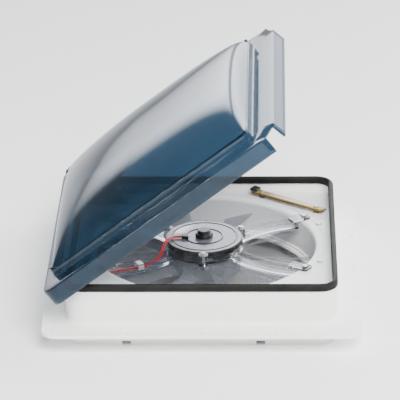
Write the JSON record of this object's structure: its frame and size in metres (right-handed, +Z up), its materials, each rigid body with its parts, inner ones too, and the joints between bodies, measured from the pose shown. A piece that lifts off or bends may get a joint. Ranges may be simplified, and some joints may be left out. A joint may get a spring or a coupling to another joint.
{
  "type": "roof vent cover",
  "caption": "Square powered roof vent for a caravan: flanged collar with seal, clear fan and motor bracket, and a smoke-tinted domed lid on hinges lifted by a crank and arm.",
  "frame": {"origin": "centre of the four corner screw holes on the underside of the roof flange, which is the roof's surface", "axes": "+Z up through the roof, +X away from the lid's hinge, +Y along the hinge line"},
  "size_m": [0.42, 0.42, 0.311],
  "materials": {
    "white_plastic": "semi-gloss ABS",
    "seal_rubber": "matte black",
    "smoke_plastic": "polished smoke-blue polycarbonate",
    "clear_plastic": "polished clear polycarbonate",
    "motor_black": "satin black",
    "plate_grey": "satin light grey",
    "black_plastic": "matte black",
    "steel": "zinc plated",
    "bronze": "sintered bronze",
    "copper": "enamelled copper windings",
    "red_sleeve": "red PVC",
    "black_sleeve": "dark red-black PVC",
    "white_nylon": "natural nylon",
    "sensor_gold": "gold-plated tracks on a board",
    "board_green": "solder resist",
    "screen_mesh": "black woven mesh"
  },
  "bodies": {
    "base": {"roof_flange": "white_plastic", "collar_seal": "seal_rubber", "fan_shroud": "white_plastic", "shroud_screws": "steel", "bezel_frame": "white_plastic", "bezel_screws": "steel", "screen_frame": "white_plastic", "insect_screen": "screen_mesh", "screen_screws": "steel", "motor_bracket": "clear_plastic", "bracket_screws": "steel", "motor_can": "motor_black", "motor_bearing": "bronze", "motor_stator": "copper", "motor_plate": "plate_grey", "motor_plate_rings": "seal_rubber", "motor_screws": "steel", "motor_boss": "black_plastic", "motor_boss_cap": "plate_grey", "lead_grommet": "black_plastic", "motor_lead_positive": "red_sleeve", "motor_lead_negative": "red_sleeve", "lead_clip": "white_nylon", "lead_gland": "black_plastic", "rain_sensor_board": "sensor_gold", "rain_sensor_holder": "clear_plastic", "rain_sensor_plug": "black_plastic", "rain_sensor_screws": "steel", "control_box": "white_plastic", "junction_box": "white_plastic", "control_box_screws": "steel", "control_board": "board_green", "potentiometer": "black_plastic", "switch_body": "black_plastic", "rocker_pin": "steel", "power_terminals": "black_plastic", "hinge_brackets": "white_plastic", "hinge_screws": "steel", "hinge_pins": "steel", "lift_arm_pin": "steel", "lift_gearbox": "black_plastic", "gearbox_screws": "steel"},
    "lid": {"lid_dome": "smoke_plastic", "lid_hinge_leaves": "white_plastic", "lid_hinge_rivets": "steel", "lift_track": "black_plastic", "lift_track_screws": "steel"},
    "lift_arm": {"lift_arm": "motor_black", "lift_roller": "white_nylon", "lift_gear": "steel"},
    "crank": {"crank_shaft": "steel", "crank_worm": "steel", "crank_knob": "white_plastic"},
    "fan": {"fan_impeller": "clear_plastic", "motor_shaft": "steel", "motor_rotor": "steel", "fan_hub_nut": "steel"},
    "speed_knob": {"speed_knob": "white_plastic"},
    "rocker": {"rocker_switch": "black_plastic"}
  },
  "joints": [
    {"name": "lid_hinge", "type": "hinge", "parent": "base", "child": "lid", "pos_m": [-0.184, 0, 0.036], "axis": [0, -1, 0], "range_deg": [-37.3, 0]},
    {"name": "lift_arm_pivot", "type": "hinge", "parent": "base", "child": "lift_arm", "pos_m": [-0.145, 0.151, 0.046], "axis": [0, -1, 0], "range_deg": [-48.25, 0]},
    {"name": "crank_turn", "type": "hinge", "parent": "base", "child": "crank", "pos_m": [-0.128, 0.139, 0], "axis": [0, 0, -1], "range_deg": [-1158, 0]},
    {"name": "fan_spin", "type": "hinge", "parent": "base", "child": "fan", "pos_m": [0, 0, 0.02], "axis": [0, 0, 1], "continuous": true},
    {"name": "speed_knob_turn", "type": "hinge", "parent": "base", "child": "speed_knob", "pos_m": [0.14, -0.14, -0.01], "axis": [0, 0, -1], "range_deg": [0, 270]},
    {"name": "rocker_tilt", "type": "hinge", "parent": "base", "child": "rocker", "pos_m": [-0.14, -0.14, -0.005], "axis": [0, 1, 0], "range_deg": [-8, 8]}
  ],
  "couplings": [
    {"joint": "lift_arm_pivot", "follows": "lid_hinge", "ratio": 1.2926},
    {"joint": "crank_turn", "follows": "lid_hinge", "ratio": 31.022}
  ]
}
